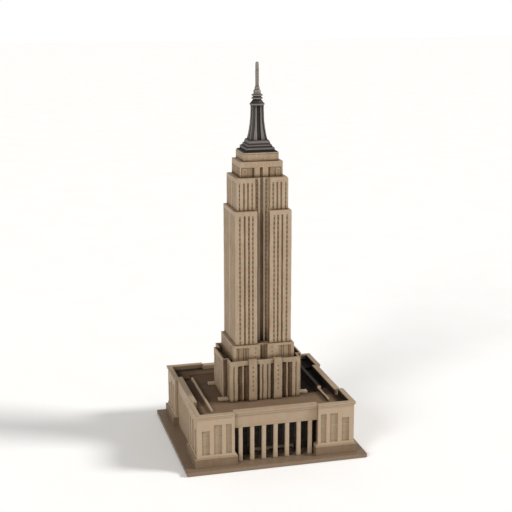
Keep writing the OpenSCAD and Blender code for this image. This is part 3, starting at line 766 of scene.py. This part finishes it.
def base_block():
    x, y = BASE_HALF
    z = base_high[2] - PIER_RISE
    bay, bay_x, rim, gutter = 16.0, base_high[0], 1.2, 5.0
    slot_end, slot_deep = 20.2, 1.7  # the slot between a side bay and the corner
    s = Solid(cell=4)
    s.add((-x, x), (-y, y), (roof_z, z))
    s.add((-bay_x, bay_x), (-bay, bay), (roof_z, z))
    top = z - BAND
    # The grooves end at slightly uneven heights
    for a, b, depth in ((1.4, 2.6, 1.0), (4.4, 7, 1.9), (13.5, 17.6, 1.9), (18.6, 22.4, 1.9),
                        (25, 26, 0.5)):
        carve(s, y, (a, b), depth, (roof_z, top - 0.3 + 0.3 * math.sin(3 * a)))
    windows(s, y, ((20.0, 21.0), (15.0, 16.0)), 2.3, roof_z + 2, top - 1, pitch=BASE_PITCH)
    windows(s, y, ((25.1, 25.9),), 0.9, roof_z + 2, top - 1, pitch=BASE_PITCH)
    carve(s, x, (bay + 0.2, slot_end), slot_deep, (roof_z, top), side=True)
    carve(s, x, (22, 23.2), 0.5, (roof_z, top), side=True)
    windows(s, x, ((22.2, 23.0),), 0.9, roof_z + 2, top - 1, side=True, pitch=BASE_PITCH)
    for span in ((1, 3), (5, 6.2), (8.4, 10.4), (12.4, 13.6)):
        carve(s, bay_x, span, 0.6, (roof_z, top), side=True)
    windows(s, bay_x, ((1.5, 2.5), (5.2, 6.0), (8.9, 9.9), (12.6, 13.4)), 1.0, roof_z + 2, top - 1,
            side=True, pitch=BASE_PITCH)
    # The piers, with a column of windows in each
    for a in (-1, 1):
        for b in (-1, 1):
            s.add((a * PIER[0], a * PIER[1]), (b * (y - 2), b * base_high[1]), (roof_z, base_high[2]))
    windows(s, base_high[1], ((9.8, 10.8),), 0.6, roof_z + 8.5, z - 2, tall=1.5, pitch=WIDE_PITCH)
    s.cut((rim - x, x - rim), (rim - y, y - rim), (z - gutter, z))
    s.cut((rim - bay_x, bay_x - rim), (rim - bay, bay - rim), (z - gutter, z))
    seat = second_low[2]
    s.add((second_low[0], second_high[0]), (second_low[1], second_high[1]), (z - gutter, seat))
    points, faces = s.mesh()
    ax, ay = np.abs(points[:, 0]), np.abs(points[:, 1])
    outer_x = np.where(ay <= bay + 0.01, bay_x, x)
    outer_y = np.where((ax > PIER[0] - 0.1) & (ax < PIER[1] + 0.1), base_high[1], y)
    depth = np.clip(np.minimum(outer_x - ax, outer_y - ay), 0, None)
    depth = np.where(points[:, 2] > z - 0.05, np.minimum(depth, 0.1), depth)
    bay_face = (ay <= bay + 0.01) & (ax > x + 0.5)
    # Brown wash and painted shade, darker with the depth of each hollow
    wash_and_shade = np.where(bay_face, 0.05 + 0.75 * hollow_wash_and_shade(depth, 0.5), 0.18 + 0.55 * hollow_wash_and_shade(depth, 1.2))
    # Painted shadow: the bottoms of the slots are darker
    slot = (ay > bay + 0.1) & (ay < slot_end + 0.1) & (ax < x - 1) & (ax > x - slot_deep - 0.1)
    wash_and_shade = np.where(slot & (points[:, 2] < top), 0.85, wash_and_shade)
    # Painted shade close to the foot, where the block meets the roof
    wash_and_shade = np.maximum(wash_and_shade, 0.9 * np.exp(-(points[:, 2] - roof_z) / 2.5))
    make("tower_base_block", "tower_base_block", TAN, points, faces, wash_and_shade,
         bevel=0.2, segments=1, wobble=0.22, scale=5.5, seed=40)


def second_block():
    x, y = second_high[0], second_high[1]
    foot, top = second_low[2], second_z
    s = Solid(cell=4)
    s.add((-x, x), (-y, y), (foot, top))
    head = top - 1.8  # a narrower plain band than the other blocks have
    niche, niche_deep = 3.1, 3
    for span, depth in (((12, 22.4), 0.6), ((14, 15), 1.0), ((16, 17), 1.0), ((20.1, 21.1), 1.0)):
        carve(s, y, span, depth, (foot, head))
    for span, depth in (((1, 3), 0.6), ((5.4, 7.2), 0.6), ((9.4, 12), 0.9), ((14.4, 17), 0.9)):
        carve(s, x, span, depth, (foot, head), side=True)
    windows(s, x, ((1.5, 2.5), (5.8, 6.8)), 0.8, foot + 2, head, side=True)
    windows(s, y, ((6.4, 7.2),), 0.4, foot + 1.5, head)
    # A niche in the middle of the front and back, with two fine grooves in its floor
    for a in (-1, 1):
        s.cut((-niche, niche), (a * (y - niche_deep), a * (y + PAST)), (foot, top))
        for b in (-1.4, 1.4):
            s.cut((b - 0.35, b + 0.35), (a * (y - niche_deep - 0.5), a * (y - niche_deep)),
                  (foot, top - 1))
    tower_piece("tower_second_block", s, foot + 1, 41, soft=1.8, wobble=0.16, bevel=0.18, dirt=0.16,
                limit=0.5)


def shaft():
    x, y = shaft_high[0], shaft_high[1]
    bottom, top = second_z, shaft_z
    s = Solid(cell=5)
    s.add((-x, x), (-y, y), (bottom, top))
    for span, depth in (((7.9, 9.3), 0.4), ((11, 12.4), 0.7), ((14.4, 15.8), 1.0),
                        ((18.2, 19.6), 0.4)):
        carve(s, y, span, depth, (bottom, top - BAND))
    for span, depth in (((2, 4.2), 0.4), ((5.8, 7.4), 1.0), ((9.2, 11.2), 0.4), ((12.8, 14.2), 1.0),
                        ((15.4, 17.4), 0.4)):
        carve(s, x, span, depth, (bottom, top - BAND), side=True)
    first, last = bottom + 1.6, top - BAND
    windows(s, y, ((8.1, 9.1), (18.4, 19.4)), 0.9, first, last, pitch=WIDE_PITCH)
    windows(s, y, ((11.2, 12.2),), 1.1, first, last, pitch=WIDE_PITCH)
    windows(s, x, ((2.6, 3.6), (9.7, 10.7), (15.9, 16.9)), 0.8, first, last, side=True,
            pitch=WIDE_PITCH)
    recess(s, RECESS_HALF, y, bottom, top, WIDE_PITCH)
    tower_piece("tower_shaft", s, bottom, 42, soft=1.5, recessed=True, dirt=0.07)


def upper_block():
    x, y = upper_high[0], upper_high[1]
    bottom, top = shaft_z, upper_z
    s = Solid(cell=5)
    s.add((-x, x), (-y, y), (bottom, top))
    for span, depth in (((7.8, 9), 0.4), ((11, 12.4), 0.8), ((14.2, 15.6), 0.8), ((18, 19), 0.4)):
        carve(s, y, span, depth, (bottom, top - BAND))
    for span, depth in (((2, 4), 0.4), ((5.6, 7), 0.8), ((9, 10.8), 0.4), ((12.4, 14.4), 0.4)):
        carve(s, x, span, depth, (bottom, top - BAND), side=True)
    first, last = bottom + 1.6, top - BAND
    windows(s, y, ((7.9, 8.9), (18.1, 18.9)), 0.9, first, last)
    windows(s, x, ((2.5, 3.5), (9.4, 10.4), (12.9, 13.9)), 0.8, first, last, side=True)
    recess(s, UPPER_RECESS_HALF, y, bottom, top, PITCH)
    # Grid lines that the rounded shoulders need
    round_w = 1.1
    for a in (-1, 1):
        for edge in (a * (x - round_w), a * (UPPER_RECESS_HALF + round_w)):
            s.add(sorted((edge, edge + a * 0.4)), (-y, y), (top - 4, top - 1))

    def shoulders(points):
        ax, ay = np.abs(points[:, 0]), np.abs(points[:, 1])
        edge = (ax > x - 0.1) | (np.abs(ax - UPPER_RECESS_HALF) < 0.1)
        corner = edge & (points[:, 2] > top - 0.05) & (ay > RIB_FACE + 0.2)
        out = points.copy()
        out[corner, 2] -= 0.9
        return out

    tower_piece("tower_upper_block", s, bottom, 43, soft=1.5, shape=shoulders, recessed=True,
                dirt=0.07)


def crown():
    x, y = crown_high[0], crown_high[1]
    bottom, top = upper_z, crown_z
    s = Solid(cell=4)
    s.add((-x, x), (-y, y), (bottom, top))
    head = top - 4.4  # a deeper plain band than the other blocks have
    # Front and back: a groove between two piers, brown strips beside them, arched pilasters
    carve(s, y, (0.0, 1.2), 1.0, (bottom, head))
    carve(s, y, (5.5, 16.0), 0.5, (bottom, head))
    carve(s, y, (5.5, 7.2), 1.0, (bottom, head - 0.3))
    arch(lambda a, b, z: pier(s, y, (a, b), 0.5, (bottom, z)),
         11.8, 15.2, head - 2.0, 1.3)
    arch(lambda a, b, z: carve(s, y, (a, b), 0.35, (bottom, z)), 12.6, 14.4, head - 2.6, 0.8)
    # Sides: four arched pilasters on each
    carve(s, x, (0.8, 12.2), 0.5, (bottom, head), side=True)
    for first in (2.0, 7.6):
        arch(lambda a, b, z: pier(s, x, (a, b), 0.5, (bottom, z), True), first, first + 3.2,
             head - 2.0, 1.3)
        arch(lambda a, b, z: carve(s, x, (a, b), 0.35, (bottom, z), True), first + 0.8, first + 2.4,
             head - 2.6, 0.8)
    tower_piece("crown_block", s, bottom, 44, soft=1.2, dirt=0.12)


def cap():
    panel_out, panel_h, frame_w = 0.4, 2.9, 1.0
    x, y = cap_high[0], cap_high[1] - panel_out
    bottom, top = crown_z, cap_z
    s = Solid(cell=4)
    s.add((-x, x), (-y, y), (bottom, top))
    # A fine line all round, below the top edge
    for side, face in ((False, y), (True, x)):
        carve(s, face, (0.0, 20), 0.25, (top - 1.3, top - 1.0), side)
    # Raised frames low on the front and back, two on each
    first, last = 1.6, 5.9
    for a in (-1, 1):
        for b in (-1, 1):
            s.add((a * first, a * last), (b * (y - 1), b * (y + panel_out)), (bottom, bottom + panel_h))
            s.cut((a * (first + frame_w), a * (last - frame_w)), (b * (y + 0.1), b * (y + panel_out)),
                  (bottom, bottom + panel_h - frame_w))
    tower_piece("cap_block", s, bottom, 45, soft=0.4, low=[-x, -y, bottom], high=[x, y, top],
                dirt=0.14)


base_block()
second_block()
shaft()
upper_block()
crown()
cap()


# --- Mast ---

def lofted(rings):
    """Points and faces of stacked rings of the same length, closed at both ends."""
    n = len(rings[0])
    points = [p for ring in rings for p in ring]
    faces = [(r * n + i, r * n + (i + 1) % n, (r + 1) * n + (i + 1) % n, (r + 1) * n + i)
             for r in range(len(rings) - 1) for i in range(n)]
    faces += [tuple(reversed(range(n))), tuple(range(len(points) - n, len(points)))]
    return np.array(points), faces


def square_ring(half, z, corner, sides):
    """A square ring with cut corners. sides gives (share, depth) points along each side."""
    stops = [(-1, 0)] + list(sides) + [(1, 0)]
    ring = []
    for quarter in range(4):
        c, s = math.cos(math.pi / 2 * quarter), math.sin(math.pi / 2 * quarter)
        for share, depth in stops:
            x, y = half - depth, share * (half - corner)
            ring.append((c * x - s * y, s * x + c * y, z))
    return ring


def slab():
    s = Solid(cell=3)
    across, length, heights = zip(slab_low, slab_high)
    s.add(across, length, heights)
    # A fine step along the left and right edges of its top
    for edge in ((across[0], across[0] + 0.4), (across[1] - 0.4, across[1])):
        s.cut(edge, length, (heights[1] - 0.3, heights[1]))
    points, faces = s.mesh()
    make("mast_base_slab", "mast_base_slab", ENAMEL, points, faces,
         np.full(len(points), 0.3), bevel=0.12, wobble=0.1, scale=5, seed=50)


def pedestal():
    z = pedestal_low[2]
    # Half width and height of each turn of the stepped profile, with its wash
    profile = ((11.3, 0.0, 1.0), (11.3, 0.5, 1.0), (11.15, 0.9, 1.0), (11.15, 1.1, 0.9),
               (11.3, 1.3, 0.25), (11.3, 2.0, 0.15), (10.5, 2.9, 0.7), (9.8, 2.9, 1.0),
               (9.6, 3.0, 1.0), (9.6, 3.5, 0.6), (9.6, 4.2, 0.12), (8.9, 5.0, 0.7),
               (8.45, 5.05, 1.0), (8.4, 5.2, 0.8), (8.4, 6.0, 0.25), (8.1, 6.9, 0.1),
               (7.7, 7.6, 0.5), (7.5, 8.0, 0.9))
    sides = [(share, 0) for share in (-0.97, -0.7, -0.35, 0, 0.35, 0.7, 0.97)]
    points, faces = lofted([square_ring(h, z + up, 0.3, sides) for h, up, _ in profile])
    wash_and_shade = np.repeat([w for _, _, w in profile], len(points) // len(profile))
    make("mast_pedestal", "mast_pedestal", PEWTER, points, faces, wash_and_shade, bevel=0,
         wobble=0.12, scale=5, seed=51, sharp=35)


def body():
    foot, top, power = mast_high[0], 4.4, 2.4  # half widths, and how sharply it flares
    tall = mast_high[2] - mast_low[2]
    levels = 26
    rings, wash_and_shade = [], []
    for n in range(levels + 1):
        u = n / levels
        half = top + (foot - top) * (1 - u) ** power
        groove, rib, strip = 1.35 + 0.25 * (1 - u), half - 1.9, half - 1.35
        reach = half - 1.0
        side = [(0.98, 0, 0.5), (strip / reach, 0, 0.35), ((strip - 0.2) / reach, 0.35, 0.9),
                ((rib + 0.1) / reach, 0.35, 0.9), ((rib - 0.1) / reach, 0, 0.15),
                ((groove + 0.3) / reach, 0, 0.0), (groove / reach, 0.15, 0.35),
                ((groove - 0.25) / reach, 0.85, 0.95), (0.1, 0.7, 0.8)]
        profile = [(-a, d, w) for a, d, w in side] + [(a, d, w) for a, d, w in reversed(side)]
        rings.append(square_ring(half, mast_low[2] + u * tall, 1.0, [(a, d) for a, d, _ in profile]))
        shade = [0.6] + [w for _, _, w in profile] + [0.6]
        wash_and_shade += [min(1, w + 0.35 * math.exp(-u * 14) + 0.3 * math.exp((u - 1) * 18)) for w in shade * 4]
    points, faces = lofted(rings)
    make("mast_body", "mast_body", PEWTER, points, faces, np.array(wash_and_shade), bevel=0,
         wobble=0.1, scale=4, seed=52, sharp=40)


def turned(name, slot, material, profile, base_z, seed, wobble=0.05, around=48):
    """A lathed piece. profile holds radius, height above base_z and wash."""
    rings = [[(r * math.cos(2 * math.pi * k / around), r * math.sin(2 * math.pi * k / around),
               base_z + up) for k in range(around)] for r, up, _ in profile]
    points, faces = lofted(rings)
    wash_and_shade = np.repeat([w for _, _, w in profile], around)
    make(name, name, material, points, faces, wash_and_shade, bevel=0, wobble=wobble, scale=3,
         seed=seed, sharp=38)


def collar():
    profile = ((1.57, -2.8, 0.8), (1.57, 0.0, 0.8), (5.3, 0.0, 0.8), (5.75, 0.25, 0.3),
               (5.9, 0.6, 0.05), (5.9, 1.15, 0.05), (5.6, 1.45, 0.5), (5.1, 1.9, 0.75),
               (4.5, 2.7, 0.7), (3.9, 3.5, 0.7), (3.5, 4.0, 0.8), (3.3, 4.2, 0.95),
               (3.3, 4.65, 0.9), (3.7, 4.8, 0.4), (4.35, 4.95, 0.1), (4.4, 5.2, 0.05),
               (4.4, 5.75, 0.05), (4.0, 6.05, 0.35), (3.3, 6.2, 0.9), (3.3, 6.95, 0.9),
               (3.8, 7.15, 0.35), (4.35, 7.3, 0.1), (4.4, 7.5, 0.05), (4.4, 8.0, 0.05),
               (3.9, 8.3, 0.2), (3.4, 8.6, 0.5), (0.3, 8.6, 0.7))
    turned("mast_collar", "pewter", PEWTER, profile, mast_high[2], 53)


def antenna():
    r = 1.42
    tall = antenna_high[2] - collar_high[2]
    profile = [(1.07, -2.8, 0.8), (1.07, 0.0, 0.8), (2.75, 0.0, 0.7), (2.85, 0.2, 0.3),
               (2.85, 2.5, 0.2), (2.65, 2.9, 0.1), (2.4, 3.15, 0.5), (2.0, 3.4, 0.7),
               (2.0, 3.7, 0.4), (2.0, 4.9, 0.15), (1.8, 5.3, 0.4), (r + 0.1, 5.6, 0.6),
               (r, 7.0, 0.35)]
    profile += [(r - 0.04 * (n % 2), 7.0 + n * 1.2, 0.15 + 0.15 * (n % 2)) for n in range(1, 9)]
    profile += [(r - 0.02, 17.6, 0.3), (r - 0.14, 18.0, 0.6), (r - 0.14, 18.3, 0.6),
                (r - 0.02, 18.7, 0.2), (r - 0.05, 20.4, 0.15), (r - 0.1, 22.4, 0.1),
                (1.25, tall - 1.0, 0.1), (1.1, tall - 0.35, 0.1), (0.75, tall - 0.08, 0.1),
                (0.15, tall, 0.1)]
    turned("antenna", "antenna_metal", ANTENNA, profile, collar_high[2], 54, wobble=0.07, around=32)


slab()
pedestal()
body()
collar()
antenna()


# --- CAD nodes that keep their shape ---

for node, material in (("base_plate", BROWN), ("rubber_feet", RUBBER), ("base_screws", STEEL),
                       ("tie_rod", STEEL), ("tie_washer", STEEL), ("tie_nut", STEEL)):
    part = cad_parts[node]
    part.data.materials.clear()
    part.data.materials.append(material)


# --- Floor, light and camera ---

def studio():
    size = 6.0
    mesh = bpy.data.meshes.new("floor")
    mesh.from_pydata([(-size, -size, 0), (size, -size, 0), (size, size, 0), (-size, size, 0)], [],
                     [(0, 1, 2, 3)])
    floor = bpy.data.objects.new("floor", mesh)
    bpy.context.scene.collection.objects.link(floor)
    s = Shader("floor", Roughness=0.9)
    s.put(s.surface.inputs["Base Color"],
          s.ramp(s.grain(60, detail=2), [(0.0, (250, 249, 247)), (1.0, (255, 254, 252))]))
    mesh.materials.append(s.material)

    world = bpy.data.worlds.new("studio")
    world.use_nodes = True
    nodes, links = world.node_tree.nodes, world.node_tree.links
    back = nodes["Background"]
    back.inputs["Color"].default_value = (1, 0.99, 0.98, 1)
    back.inputs["Strength"].default_value = 0.4
    # The backdrop that is seen is plain white, and brighter than the light it gives
    seen = nodes.new("ShaderNodeBackground")
    seen.inputs["Color"].default_value = (1, 1, 1, 1)
    either = nodes.new("ShaderNodeMixShader")
    links.new(nodes.new("ShaderNodeLightPath").outputs["Is Camera Ray"], either.inputs[0])
    links.new(back.outputs[0], either.inputs[1])
    links.new(seen.outputs[0], either.inputs[2])
    links.new(either.outputs[0], nodes["World Output"].inputs["Surface"])
    bpy.context.scene.world = world

    for name, toward, angle, strength in (("key", (0.95, -0.35, 0.66), 14, 2.5),
                                          ("fill", (-0.85, -0.75, 0.55), 24, 1.55)):
        lamp = bpy.data.lights.new(name, "SUN")
        lamp.energy = strength
        lamp.angle = math.radians(angle)
        light = bpy.data.objects.new(name, lamp)
        light.rotation_euler = Vector(toward).to_track_quat("Z", "Y").to_euler()
        bpy.context.scene.collection.objects.link(light)

    lens = bpy.data.cameras.new("camera")
    lens.lens = 78.98
    lens.sensor_width = 36
    camera = bpy.data.objects.new("camera", lens)
    camera.location = (-0.2226, -0.8396, 0.3666)
    look = Vector((-0.00086, 0, 0.15255)) - camera.location
    camera.rotation_euler = look.to_track_quat("-Z", "Y").to_euler()
    bpy.context.scene.collection.objects.link(camera)
    bpy.context.scene.camera = camera
    bpy.context.scene.view_settings.view_transform = "Standard"


studio()
